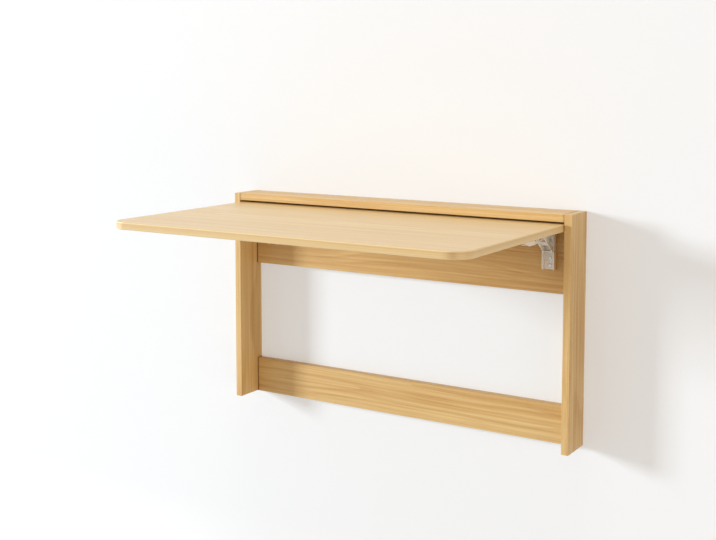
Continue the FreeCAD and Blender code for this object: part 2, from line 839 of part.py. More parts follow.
def check_and_write():
    """Stop at any failed object or cut that removed nothing, then write one file per sub-part."""
    doc.recompute()
    for obj in doc.Objects:
        if {"Invalid", "Error"} & set(obj.State):
            raise RuntimeError(f"{obj.Label}: {obj.State}")
        if obj.TypeId == "PartDesign::Pocket":
            if obj.Shape.Volume >= obj.BaseFeature.Shape.Volume - 0.001:
                owner = obj.getParentGeoFeatureGroup()
                raise RuntimeError(f"{owner.Label}: {obj.Label} cut nothing")
    os.makedirs("parts", exist_ok=True)
    for obj in nodes:
        if obj.Shape.isNull() or not obj.Shape.isValid():
            raise RuntimeError(f"{obj.Label}: no valid shape")
        obj.Shape.exportStep(f"parts/{obj.Label}.step")
        print(f"{obj.Label}: {len(obj.Shape.Solids)} solids, {obj.Shape.Volume / 1000:.2f} cm3")


for side_name, side in SIDES.items():
    make_post(side_name + "_post", side)
make_top_board()
make_upper_rail()
make_lower_rail()
make_joinery()
make_desktop()
for side_name, side in SIDES.items():
    middle = f"{side} * bracket_middle"
    make_leg(side_name + "_wall_leg", middle)
    make_arm(side_name + "_desk_arm", middle)
    make_strut(side_name + "_strut", middle)
    make_pins(side_name, middle)
    make_lock_spring(side_name, middle)
    make_screws(side_name, middle)
check_and_write()
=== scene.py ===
"""Finishes, room, lights and camera for a fold-down wall desk in light oak."""

import math

import bpy
from bpy.props import FloatProperty, FloatVectorProperty, PointerProperty
from mathutils import Euler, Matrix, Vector


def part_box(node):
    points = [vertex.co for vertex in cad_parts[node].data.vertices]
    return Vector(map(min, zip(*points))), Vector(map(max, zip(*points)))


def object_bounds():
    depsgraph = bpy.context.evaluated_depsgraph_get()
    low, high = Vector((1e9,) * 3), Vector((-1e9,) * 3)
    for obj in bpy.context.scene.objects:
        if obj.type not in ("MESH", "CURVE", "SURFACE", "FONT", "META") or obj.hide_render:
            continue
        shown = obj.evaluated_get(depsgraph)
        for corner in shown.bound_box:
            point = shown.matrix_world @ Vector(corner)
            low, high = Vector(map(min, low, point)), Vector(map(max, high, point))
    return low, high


bl_info = {
    "name": "Fold-down wall desk finishes",
    "version": (1, 0, 0),
    "blender": (4, 5, 0),
    "location": "3D view > Sidebar > Wall desk",
    "description": "Oak, powder coat and plated steel for a fold-down wall desk, with its room",
    "category": "Object",
}

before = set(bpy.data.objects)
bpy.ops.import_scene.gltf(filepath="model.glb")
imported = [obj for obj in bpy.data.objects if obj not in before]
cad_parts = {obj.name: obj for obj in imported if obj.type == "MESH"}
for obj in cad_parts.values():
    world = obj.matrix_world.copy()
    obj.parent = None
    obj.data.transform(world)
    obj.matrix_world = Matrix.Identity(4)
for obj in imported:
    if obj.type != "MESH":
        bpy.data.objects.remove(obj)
CAD_BOX = [list(corner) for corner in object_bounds()]
CAD_LOW, CAD_HIGH = (Vector(corner) for corner in CAD_BOX)

SIDES = ("left", "right")
WHITE = (1.0, 1.0, 1.0)

# How each board was cut and is joined: the axis that its grain runs along, where it lay in the log
# in metres along, across and out from the pith, its red, green and blue beside its neighbours' as
# painted light and shade, and how dark the painted shade in the joint gaps at its two ends is.
FRAME_BOARDS = {
    # Painted light: the left post is lighter, as if it stood nearer the window.
    "left_post": dict(grain="Z", log_place=(0.40, 0.075, 0.510), painted_light_tint=(1.05, 1.05, 1.05), joint=0.0),
    "right_post": dict(grain="Z", log_place=(2.30, 0.060, -0.420), painted_light_tint=WHITE, joint=0.0),
    "top_board": dict(grain="X", log_place=(1.10, 0.080, 0.020), painted_light_tint=WHITE, joint=0.4),
    # Painted shade: the upper rail is darker and redder, as if in the desktop's shadow.
    "upper_rail": dict(grain="X", log_place=(3.20, 0.115, 0.050), painted_light_tint=(0.91, 0.84, 0.75), joint=0.9),
    "lower_rail": dict(grain="X", log_place=(5.70, 0.105, 0.420), painted_light_tint=WHITE, joint=0.9),
}
DESKTOP_CUT = dict(grain="X", log_place=(7.40, 0.330, 0.095), painted_light_tint=WHITE)
GRAIN_TURNS = {"X": (0.0, 0.0, 0.0), "Z": (0.0, math.pi / 2, 0.0)}  # these lay the grain along X

# A fineness is how many blotches of a pattern fit in a metre: for wood first along its grain, then
# each way across it, and otherwise along X, Y and Z.
SWAY_FINENESS = (1.1, 5.0, 5.0)
STREAK_FINENESS = (1.7, 165.0, 165.0)
TONE_FINENESS = (0.8, 24.0, 24.0)
PORE_FINENESS = (110.0, 2800.0, 2800.0)
BAND_FINENESS = (4.0, 4.0, 900.0)
FLECK_FINENESS = (120.0, 1100.0, 1100.0)
FIBRE_FINENESS = (30.0, 700.0, 700.0)
COAT_CLOUDS = (35.0, 35.0, 35.0)
METAL_CLOUDS = (180.0, 180.0, 180.0)
NYLON_CLOUDS = (260.0, 260.0, 260.0)

# Soft noise runs from 0 to 1, but most of it lies between the first two values, and all but a
# little of it between the other two.
SOFT_EDGES = (0.3, 0.7)
WIDE_EDGES = (0.2, 0.8)

# The oak's rings. The shares of a year say where its early wood has begun, where it starts to fade
# and where only late wood is left.
SWAY_REACH = 0.038  # metres that the grain wanders to each side
LOG_TAPER = 0.012  # how much of the way along the log counts as way out from the pith
YEAR_CHANGE = 0.45  # how soon poor years follow good ones
YEAR_SPREAD = 3.0  # how many years the good and poor ones move a ring by
EARLY_BEGUN = 0.06
EARLY_FADES = 0.12
EARLY_GONE = 0.75
FAINTEST_RING = 0.35
PORE_EDGES = (0.54, 0.72)  # the noise at which a pore begins, and at which it is full
LATE_PORES = 0.25  # pores in late wood beside those in early wood

# How the figure shades the oak, from 0 for dark wood to 1 for light wood, and how it shows.
STREAKS_LIGHTEN = 0.55
TONE_LIGHTENS = 0.3
RINGS_DARKEN = 0.28
PLAIN_SHADE = 0.18
TONE_EDGES = (0.32, 0.68)
PORE_STRENGTH = 0.38
GRAIN_DEPTH = 0.00012  # metres
RING_RELIEF = 0.35  # shares of that depth
PORE_RELIEF = 0.65

# The oak's surface: what streaks, pores and missing lacquer add to its roughness, how much light
# the wood itself throws back, and how rough the lacquer on it is.
STREAKS_DULL = 0.12
PORES_DULL = 0.2
BARE_DULLS = 0.35
WOOD_SHINE = 0.3
LACQUER_ROUGHNESS = 0.32

# The band round the desktop's edges with its painted light and highlight, its bare underside, and
# the painted shade where boards join. A facing is 1 on what faces up, -1 on what faces down and 0
# on an upright edge.
BAND_FACING = (0.99, 0.93)
UNDERSIDE_FACING = (-0.9, -0.97)
# Painted light: the band is painted paler towards the underside, where shade falls on it.
BAND_PAINTED_LIGHT = (0.62, 0.12)  # at the underside and at the top
BAND_LINES = 0.35
BAND_LINE_EDGES = (0.35, 0.65)
BAND_PORES = 0.35  # pores on the band beside those on the faces
# Painted highlight: the rounded top edge is painted palest, as if it caught the light.
HIGHLIGHT_ROUNDING = (0.0035, 0.0015)  # metres below the top between which the edge turns palest
# Painted shade: the ends of the boards darken as if in the shadow of the gap where they meet the
# posts.
JOINT_SHADE_COLOUR = (0.14, 0.05, 0.012)
JOINT_SHADE_REACH = (0.0065, 0.0005)  # metres from a board's end between which the line darkens

# The flecks in the beech: the noise at which one begins and is full, and how dark it is.
FLECK_EDGES = (0.6, 0.7)
FLECK_STRENGTH = 0.5
FLECK_DARKNESS = 0.5

# The room, in metres, and the light in it.
WALL_TOP = 3.5
ROOM_HALF_WIDTH = 6.0
FLOOR_DEPTH = 7.0
COVE_RADIUS = 0.4
COVE_STEPS = 24
WALL_GAP = 0.0005
FADE = (1.3, 3.2)  # from the desk's origin, where the wall and floor fade into the backdrop
AIR_COLOUR = (1.0, 0.80, 0.60)
WINDOW_AIM = Vector((0.0, -0.2, -0.15))
WINDOW_TURN = math.radians(64.5)  # to the left of straight out from the wall
WINDOW_RISE = math.radians(10.0)
WINDOW_REACH = 12.0
SENSOR_WIDTH = 36.0  # millimetres


# ---------------------------------------------------------------- nodes


def fill(tree, made, inputs):
    """Give a node's inputs their values, or join them to the sockets that feed them."""
    for key, value in inputs.items():
        if isinstance(value, bpy.types.NodeSocket):
            tree.links.new(value, made.inputs[key])
        else:
            made.inputs[key].default_value = value


def node(tree, kind, inputs=None, **settings):
    """Add a node, set its own settings and fill its inputs."""
    made = tree.nodes.new(kind)
    for key, value in settings.items():
        setattr(made, key, value)
    fill(tree, made, inputs or {})
    return made


def calc(tree, operation, *values):
    """One step of arithmetic on numbers."""
    return node(tree, "ShaderNodeMath", dict(enumerate(values)), operation=operation).outputs[0]


def vector_calc(tree, operation, *vectors):
    """One step of arithmetic on vectors."""
    inputs = dict(enumerate(vectors))
    return node(tree, "ShaderNodeVectorMath", inputs, operation=operation).outputs[0]


def stretch(tree, vector, factors):
    """The vector with each of its parts multiplied, so that a pattern runs long or short."""
    return vector_calc(tree, "MULTIPLY", vector, factors)


def length(tree, vector):
    """How long a vector is."""
    return node(tree, "ShaderNodeVectorMath", {0: vector}, operation="LENGTH").outputs["Value"]


def part_of(tree, vector, axis):
    """A vector's part along X, Y or Z."""
    return node(tree, "ShaderNodeSeparateXYZ", {0: vector}).outputs[axis]


def own_place(tree):
    """The place of each point in the piece's own frame, in metres."""
    return node(tree, "ShaderNodeTexCoord").outputs["Object"]


def facing_up(tree):
    """How far the surface faces up: 1 is straight up, 0 is to the side and -1 is straight down."""
    return part_of(tree, node(tree, "ShaderNodeTexCoord").outputs["Normal"], "Z")


def noise(tree, vector, detail=2.0, roughness=0.5, output="Fac"):
    """Soft noise from 0 to 1, one blotch to each unit of the vector."""
    inputs = {"Vector": vector, "Scale": 1.0, "Detail": detail, "Roughness": roughness}
    return node(tree, "ShaderNodeTexNoise", inputs).outputs[output]


def remap(tree, value, low, high, to_low=0.0, to_high=1.0):
    """Stretch a value from one range to another, with soft ends."""
    inputs = {"Value": value, "From Min": low, "From Max": high, "To Min": to_low, "To Max": to_high}
    made = node(tree, "ShaderNodeMapRange", inputs, interpolation_type="SMOOTHSTEP")
    return made.outputs["Result"]


def spread(tree, pattern, to_low=0.0):
    """Stretch soft noise so that it fills the range from its new low to 1."""
    return remap(tree, pattern, *SOFT_EDGES, to_low)


def opaque(colour):
    """A plain colour with its alpha, or the socket that feeds one, as it is."""
    return colour if isinstance(colour, bpy.types.NodeSocket) else (*colour, 1.0)


def blend_colours(tree, factor, first, second):
    """One colour laid over another by a factor, on the colour sockets of a Mix node."""
    inputs = {0: factor, 6: opaque(first), 7: opaque(second)}
    return node(tree, "ShaderNodeMix", inputs, data_type="RGBA").outputs[2]


def mottled(tree, pattern, colour, dimmest):
    """A colour that soft noise dims here and there, at most to a share of itself."""
    dim = [part * dimmest for part in colour]
    return blend_colours(tree, spread(tree, pattern), dim, colour)


def bump(tree, height, depth):
    """Surface relief, where a height of 1 stands depth metres above a height of 0."""
    inputs = {"Height": height, "Strength": 1.0, "Distance": depth}
    return node(tree, "ShaderNodeBump", inputs).outputs["Normal"]


def new_material(name):
    """A new material with no nodes yet."""
    material = bpy.data.materials.new(name)
    material.use_nodes = True
    material.node_tree.nodes.clear()
    return material, material.node_tree


def new_finish(name):
    """A new material with one skin shader joined to its output."""
    material, tree = new_material(name)
    skin = node(tree, "ShaderNodeBsdfPrincipled")
    node(tree, "ShaderNodeOutputMaterial", {"Surface": skin.outputs[0]})
    return material, tree, skin


def give(node_name, material):
    """Put a finish on every material slot of one of the desk's own parts."""
    if node_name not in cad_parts:
        raise RuntimeError(f"the desk has no part named {node_name}")
    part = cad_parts[node_name]
    if not part.material_slots:
        part.data.materials.append(material)
    for slot in part.material_slots:
        slot.material = material


# ---------------------------------------------------------------- wood


def log_place(tree, cut):
    """Where each point of a board lay in its log, x along the grain, y and z out from the pith.

    The grain wanders a little to each side on its way along.
    """
    inputs = {
        "Vector": own_place(tree),
        "Rotation": GRAIN_TURNS[cut["grain"]],
        "Location": cut["log_place"],
    }
    place = node(tree, "ShaderNodeMapping", inputs).outputs[0]
    sway = noise(tree, stretch(tree, place, SWAY_FINENESS), output="Color")
    centred = vector_calc(tree, "SUBTRACT", sway, (0.5, 0.5, 0.5))
    aside = stretch(tree, centred, (0.0, SWAY_REACH, SWAY_REACH))
    return vector_calc(tree, "ADD", aside, place)


def growth_rings(tree, place, ring_gap):
    """How far a point is in a ring's early wood, and how plainly that ring shows there."""
    from_pith = length(tree, stretch(tree, place, (LOG_TAPER, 1.0, 1.0)))
    count = calc(tree, "DIVIDE", from_pith, ring_gap)
    uneven = node(
        tree,
        "ShaderNodeTexNoise",
        {"W": count, "Scale": YEAR_CHANGE, "Detail": 2.0},
        noise_dimensions="1D",
    ).outputs["Fac"]
    year = calc(tree, "FRACT", calc(tree, "MULTIPLY_ADD", uneven, YEAR_SPREAD, count))
    begun = remap(tree, year, 0.0, EARLY_BEGUN)
    lasting = remap(tree, year, EARLY_GONE, EARLY_FADES)
    early = calc(tree, "MULTIPLY", begun, lasting)
    return early, calc(tree, "MULTIPLY", early, spread(tree, uneven, FAINTEST_RING))


def oak_figure(tree, cut, look):
    """The oak's growth rings, streaks, pores and shade, each from about 0 to 1."""
    place = log_place(tree, cut)
    early, rings = growth_rings(tree, place, look.ring_gap)
    streaks = noise(tree, stretch(tree, place, STREAK_FINENESS), detail=4.0, roughness=0.64)
    tone = noise(tree, stretch(tree, place, TONE_FINENESS))
    vessels = noise(tree, stretch(tree, place, PORE_FINENESS))
    open_vessels = remap(tree, vessels, *PORE_EDGES)
    pores = calc(tree, "MULTIPLY", open_vessels, remap(tree, early, 0.0, 1.0, LATE_PORES))

    shade = calc(tree, "MULTIPLY", spread(tree, streaks), STREAKS_LIGHTEN)
    shade = calc(tree, "MULTIPLY_ADD", remap(tree, tone, *TONE_EDGES), TONE_LIGHTENS, shade)
    shade = calc(tree, "ADD", shade, PLAIN_SHADE)
    shade = calc(tree, "MULTIPLY_ADD", rings, -RINGS_DARKEN, shade)
    return rings, streaks, pores, shade


def oak_colour(tree, shade, pores, painted_light_tint, look):
    """The oak's colour from its shade, with its pores, times the light and shade painted on its
    board.
    """
    light = [part * own for part, own in zip(look.light, painted_light_tint)]
    dark = [part * own for part, own in zip(look.dark, painted_light_tint)]
    wood = blend_colours(tree, shade, dark, light)
    return blend_colours(tree, calc(tree, "MULTIPLY", pores, PORE_STRENGTH), wood, look.pore)


def finish_oak(tree, skin, wood, figure, look, bare_or_joint_shade=None):
    """Join the oak's colour, its open grain and a clear satin lacquer to its skin shader.

    The wood is duller in its pores. Where it is bare, or in the painted shade of a joint, it is
    duller too and has no lacquer.
    """
    rings, streaks, pores = figure
    relief = calc(tree, "MULTIPLY", pores, -PORE_RELIEF)
    relief = calc(tree, "MULTIPLY_ADD", rings, -RING_RELIEF, relief)
    smoothest = look.roughness - STREAKS_DULL / 2
    gloss = calc(tree, "MULTIPLY_ADD", streaks, STREAKS_DULL, smoothest)
    gloss = calc(tree, "MULTIPLY_ADD", pores, PORES_DULL, gloss)
    coat = look.lacquer
    if bare_or_joint_shade is not None:
        gloss = calc(tree, "MULTIPLY_ADD", bare_or_joint_shade, BARE_DULLS, gloss)
        coat = calc(tree, "MULTIPLY", calc(tree, "SUBTRACT", 1.0, bare_or_joint_shade), look.lacquer)
    finish = {
        "Base Color": wood,
        "Roughness": gloss,
        "Normal": bump(tree, relief, GRAIN_DEPTH),
        "Coat Weight": coat,
        "Coat Roughness": LACQUER_ROUGHNESS,
        "Specular IOR Level": WOOD_SHINE,
    }
    fill(tree, skin, finish)


def painted_joint_shade(tree, right_end, darkness):
    """The painted shade in the joint gaps at both ends of a board between the posts, whose middle is
    at x = 0.
    """
    from_middle = calc(tree, "ABSOLUTE", part_of(tree, own_place(tree), "X"))
    starts, ends = (right_end - reach for reach in JOINT_SHADE_REACH)
    return remap(tree, from_middle, starts, ends, 0.0, darkness)


def board_oak(name, cut, look, right_end):
    """Oak for a board of the frame, with painted shade at its ends if it is joined to the posts
    there.
    """
    material, tree, skin = new_finish(name)
    rings, streaks, pores, shade = oak_figure(tree, cut, look)
    wood = oak_colour(tree, shade, pores, cut["painted_light_tint"], look)
    bare_or_joint_shade = None
    if cut["joint"]:
        bare_or_joint_shade = painted_joint_shade(tree, right_end, cut["joint"])
        # Painted shade at the board's ends, where it meets the posts.
        wood = blend_colours(tree, bare_or_joint_shade, wood, JOINT_SHADE_COLOUR)
    finish_oak(tree, skin, wood, (rings, streaks, pores), look, bare_or_joint_shade)
    return material


def edge_band(tree, underside, top):
    """A thin oak band round a panel's edges: how far a point is on it, and its shade.

    It has long fine lines, is painted paler towards the underside, where shade falls, and has a
    painted highlight on its rounded top edge.
    """
    on_edge = remap(tree, calc(tree, "ABSOLUTE", facing_up(tree)), *BAND_FACING)
    place = own_place(tree)
    height = part_of(tree, place, "Z")
    # Painted light: paler towards the underside.
    paler = remap(tree, height, underside, top, *BAND_PAINTED_LIGHT)
    fine = noise(tree, stretch(tree, place, BAND_FINENESS), detail=3.0, roughness=0.55)
    lines = remap(tree, fine, *BAND_LINE_EDGES)
    shade = calc(tree, "MULTIPLY_ADD", lines, BAND_LINES, paler)
    # Painted highlight along the rounded top edge.
    starts, ends = (top - drop for drop in HIGHLIGHT_ROUNDING)
    return on_edge, calc(tree, "ADD", shade, remap(tree, height, starts, ends))


def panel_oak(name, cut, look, underside, top):
    """Oak for a panel that is banded on its edges, with painted light and a painted highlight on the
    band, and has no lacquer on its underside.
    """
    material, tree, skin = new_finish(name)
    rings, streaks, pores, shade = oak_figure(tree, cut, look)
    on_edge, band_shade = edge_band(tree, underside, top)
    on_face = calc(tree, "SUBTRACT", 1.0, on_edge)
    band_shade = calc(tree, "MULTIPLY", band_shade, on_edge)
    shade = calc(tree, "MULTIPLY_ADD", shade, on_face, band_shade)
    rings = calc(tree, "MULTIPLY", rings, on_face)
    pores = calc(tree, "MULTIPLY", pores, remap(tree, on_face, 0.0, 1.0, BAND_PORES))
    wood = oak_colour(tree, shade, pores, cut["painted_light_tint"], look)
    bare_or_joint_shade = remap(tree, facing_up(tree), *UNDERSIDE_FACING)
    finish_oak(tree, skin, wood, (rings, streaks, pores), look, bare_or_joint_shade)
    return material


def beech(name, colour):
    """Raw beech for the dowels: pale, with short darker flecks."""
    material, tree, skin = new_finish(name)
    place = own_place(tree)
    flecks = noise(tree, stretch(tree, place, FLECK_FINENESS))
    fibre = noise(tree, stretch(tree, place, FIBRE_FINENESS), detail=3.0, roughness=0.6)
    fleck_colour = [part * FLECK_DARKNESS for part in colour]
    fleck_share = remap(tree, flecks, *FLECK_EDGES, to_high=FLECK_STRENGTH)
    wood = mottled(tree, fibre, colour, dimmest=0.72)
    wood = blend_colours(tree, fleck_share, wood, fleck_colour)
    relief = bump(tree, fibre, depth=0.0001)
    fill(tree, skin, {"Base Color": wood, "Normal": relief, "Roughness": 0.75})
    return material


# ---------------------------------------------------------------- metal and nylon


def coated(name, colour, roughness, fineness):
    """Steel under powder coat with an orange-peel skin."""
    material, tree, skin = new_finish(name)
    place = own_place(tree)
    peel = noise(tree, stretch(tree, place, (fineness,) * 3), roughness=0.45)
    clouds = noise(tree, stretch(tree, place, COAT_CLOUDS))
    coat = mottled(tree, clouds, colour, dimmest=0.95)
    smoothest, roughest = roughness - 0.05, roughness + 0.07
    gloss = remap(tree, peel, *WIDE_EDGES, smoothest, roughest)
    relief = bump(tree, peel, depth=0.00006)
    fill(tree, skin, {"Base Color": coat, "Roughness": gloss, "Normal": relief})
    return material


def brushed(name, colour, roughness, fineness):
    """Bare or plated steel with fine marks, long the way that their fineness is low."""
    material, tree, skin = new_finish(name)
    place = own_place(tree)
    marks = noise(tree, stretch(tree, place, fineness), detail=3.0, roughness=0.6)
    clouds = noise(tree, stretch(tree, place, METAL_CLOUDS))
    metal = mottled(tree, clouds, colour, dimmest=0.82)
    smoothest, roughest = roughness - 0.08, roughness + 0.1
    gloss = remap(tree, marks, *WIDE_EDGES, smoothest, roughest)
    relief = bump(tree, marks, depth=0.00002)
    finish = {"Base Color": metal, "Roughness": gloss, "Normal": relief, "Metallic": 1.0}
    fill(tree, skin, finish)
    return material


def nylon(name, colour):
    """Natural nylon: milky, with a faint cloudiness."""
    material, tree, skin = new_finish(name)
    clouds = noise(tree, stretch(tree, own_place(tree), NYLON_CLOUDS))
    milky = mottled(tree, clouds, colour, dimmest=0.92)
    relief = bump(tree, clouds, depth=0.00003)
    fill(tree, skin, {"Base Color": milky, "Normal": relief, "Roughness": 0.45})
    return material


# ---------------------------------------------------------------- room


def sees_backdrop(tree):
    """1 for rays that show the backdrop as it is: from the camera, off gloss or through glass."""
    path = node(tree, "ShaderNodeLightPath")
    shown = calc(tree, "MAXIMUM", path.outputs["Is Camera Ray"], path.outputs["Is Glossy Ray"])
    return calc(tree, "MAXIMUM", shown, path.outputs["Is Transmission Ray"])


def wall_paint(look):
    """Matt pale paint that is clear from behind, and clear to what lies flat against it.

    The desk's back can then be seen, and it gets light, although it touches the wall. Far from
    the desk the paint fades into the backdrop.
    """
    material, tree = new_material("wall_paint")
    seen = sees_backdrop(tree)
    paint = node(tree, "ShaderNodeBsdfDiffuse", {"Color": opaque(look.wall)}).outputs[0]
    lift = calc(tree, "MULTIPLY", seen, look.wall_lift)
    glow = node(tree, "ShaderNodeEmission", {"Strength": lift}).outputs[0]
    pale = node(tree, "ShaderNodeAddShader", {0: paint, 1: glow}).outputs[0]

    away = remap(tree, length(tree, own_place(tree)), *FADE)
    far = calc(tree, "MULTIPLY", seen, away)
    backdrop = node(tree, "ShaderNodeEmission", {"Strength": look.backdrop}).outputs[0]
    faded = node(tree, "ShaderNodeMixShader", {0: far, 1: pale, 2: backdrop}).outputs[0]

    behind = node(tree, "ShaderNodeNewGeometry").outputs["Backfacing"]
    reach = node(tree, "ShaderNodeLightPath").outputs["Ray Length"]
    touching = calc(tree, "LESS_THAN", reach, look.wall_contact)
    gone = calc(tree, "MAXIMUM", behind, touching)
    clear = node(tree, "ShaderNodeBsdfTransparent").outputs[0]
    mixed = node(tree, "ShaderNodeMixShader", {0: gone, 1: faded, 2: clear}).outputs[0]
    node(tree, "ShaderNodeOutputMaterial", {"Surface": mixed})
    return material


def room_outline(floor, back):
    """The room from the side, as y and z: down the wall, round the cove and out over the floor."""
    line = [(back, WALL_TOP)]
    for step in range(COVE_STEPS + 1):
        turn = math.pi / 2 * step / COVE_STEPS
        y = back - COVE_RADIUS + COVE_RADIUS * math.cos(turn)
        z = floor + COVE_RADIUS - COVE_RADIUS * math.sin(turn)
        line.append((y, z))
    line.append((back - FLOOR_DEPTH, floor))
    return line


def window_place():
    """Where the window's light stands, seen from what it lights: far off, to the left and up."""
    level = math.cos(WINDOW_RISE)
    left = level * math.sin(WINDOW_TURN)
    out = level * math.cos(WINDOW_TURN)
    return WINDOW_AIM + Vector((-left, -out, math.sin(WINDOW_RISE))) * WINDOW_REACH


def room_air(look):
    """A world of even warm light, in front of a plain pale backdrop."""
    world = bpy.data.worlds.new("room_air")
    world.use_nodes = True
    tree = world.node_tree
    tree.nodes.clear()
    air = {"Color": opaque(AIR_COLOUR), "Strength": look.sky}
    even = node(tree, "ShaderNodeBackground", air).outputs[0]
    backdrop = {"Color": opaque(WHITE), "Strength": look.backdrop}
    shown = node(tree, "ShaderNodeBackground", backdrop).outputs[0]
    mixed = node(tree, "ShaderNodeMixShader", {0: sees_backdrop(tree), 1: even, 2: shown})
    node(tree, "ShaderNodeOutputWorld", {"Surface": mixed.outputs[0]})
    return world


def area_light(context, name, place, aim, size, power, colour=WHITE):
    """A soft rectangular light that faces a point."""
    data = bpy.data.lights.new(name, "AREA")
    data.shape = "RECTANGLE"
    data.size, data.size_y = size
    data.energy = power
    data.color = colour
    lamp = bpy.data.objects.new(name, data)
    lamp.location = place
    lamp.rotation_euler = (Vector(aim) - Vector(place)).to_track_quat("-Z", "Y").to_euler()
    context.scene.collection.objects.link(lamp)


# ---------------------------------------------------------------- what a user changes


class OakLook(bpy.types.PropertyGroup):
    """The frame's oak."""

    light: FloatVectorProperty(
        name="Light wood",
        description="Late wood and the lighter streaks",
        subtype="COLOR",
        default=(0.805, 0.59, 0.275),
        min=0.0,
        max=1.0,
    )
    dark: FloatVectorProperty(
        name="Dark wood",
        description="Early wood and the darker streaks",
        subtype="COLOR",
        default=(0.56, 0.297, 0.08),
        min=0.0,
        max=1.0,
    )
    pore: FloatVectorProperty(
        name="Pores",
        description="The short open vessels",
        subtype="COLOR",
        default=(0.33, 0.18, 0.07),
        min=0.0,
        max=1.0,
    )
    ring_gap: FloatProperty(
        name="Ring gap",
        description="How far apart the growth rings are",
        default=0.0042,
        min=0.001,
        max=0.02,
        unit="LENGTH",
    )
    roughness: FloatProperty(
        name="Wood roughness",
        description="0 is a mirror, 1 is chalk",
        default=0.5,
        min=0.1,
        max=0.9,
        subtype="FACTOR",
    )
    lacquer: FloatProperty(
        name="Lacquer",
        description="How much clear lacquer stands on the wood",
        default=0.3,
        min=0.0,
        max=1.0,
        subtype="FACTOR",
    )


class DeskOakLook(bpy.types.PropertyGroup):
    """The desktop's oak, which is paler than the frame's."""

    light: FloatVectorProperty(
        name="Light wood",
        description="Late wood and the lighter streaks",
        subtype="COLOR",
        default=(0.845, 0.655, 0.35),
        min=0.0,
        max=1.0,
    )
    dark: FloatVectorProperty(
        name="Dark wood",
        description="Early wood and the darker streaks",
        subtype="COLOR",
        default=(0.67, 0.43, 0.165),
        min=0.0,
        max=1.0,
    )
    pore: FloatVectorProperty(
        name="Pores",
        description="The short open vessels",
        subtype="COLOR",
        default=(0.42, 0.26, 0.12),
        min=0.0,
        max=1.0,
    )
    ring_gap: FloatProperty(
        name="Ring gap",
        description="How far apart the growth rings are",
        default=0.0036,
        min=0.001,
        max=0.02,
        unit="LENGTH",
    )
    roughness: FloatProperty(
        name="Wood roughness",
        description="0 is a mirror, 1 is chalk",
        default=0.46,
        min=0.1,
        max=0.9,
        subtype="FACTOR",
    )
    lacquer: FloatProperty(
        name="Lacquer",
        description="How much clear lacquer stands on the wood",
        default=0.55,
        min=0.0,
        max=1.0,
        subtype="FACTOR",
    )


class HardwareLook(bpy.types.PropertyGroup):
    """The brackets, fasteners and dowels."""

    paint: FloatVectorProperty(
        name="Bracket paint",
        description="Warm white powder coat",
        subtype="COLOR",
        default=(0.96, 0.92, 0.86),
        min=0.0,
        max=1.0,
    )
    paint_roughness: FloatProperty(
        name="Paint roughness",
        description="0 is a mirror, 1 is chalk",
        default=0.38,
        min=0.1,
        max=0.9,
        subtype="FACTOR",
    )
    zinc: FloatVectorProperty(
        name="Zinc plate",
        description="Screws, rivets, pins, cam bolts and cam discs",
        subtype="COLOR",
        default=(0.66, 0.65, 0.62),
        min=0.0,
        max=1.0,
    )
    spring: FloatVectorProperty(
        name="Spring coat",
        description="Warm white coat on the two locking springs",
        subtype="COLOR",
        default=(0.96, 0.92, 0.86),
        min=0.0,
        max=1.0,
    )
    spring_roughness: FloatProperty(
        name="Spring coat roughness",
        description="0 is a mirror, 1 is chalk",
        default=0.32,
        min=0.1,
        max=0.9,
        subtype="FACTOR",
    )
    nylon: FloatVectorProperty(
        name="Nylon",
        description="The spacers on the slide pins",
        subtype="COLOR",
        default=(0.85, 0.84, 0.80),
        min=0.0,
        max=1.0,
    )
    dowel: FloatVectorProperty(
        name="Dowels",
        description="Raw beech",
        subtype="COLOR",
        default=(0.72, 0.55, 0.36),
        min=0.0,
        max=1.0,
    )


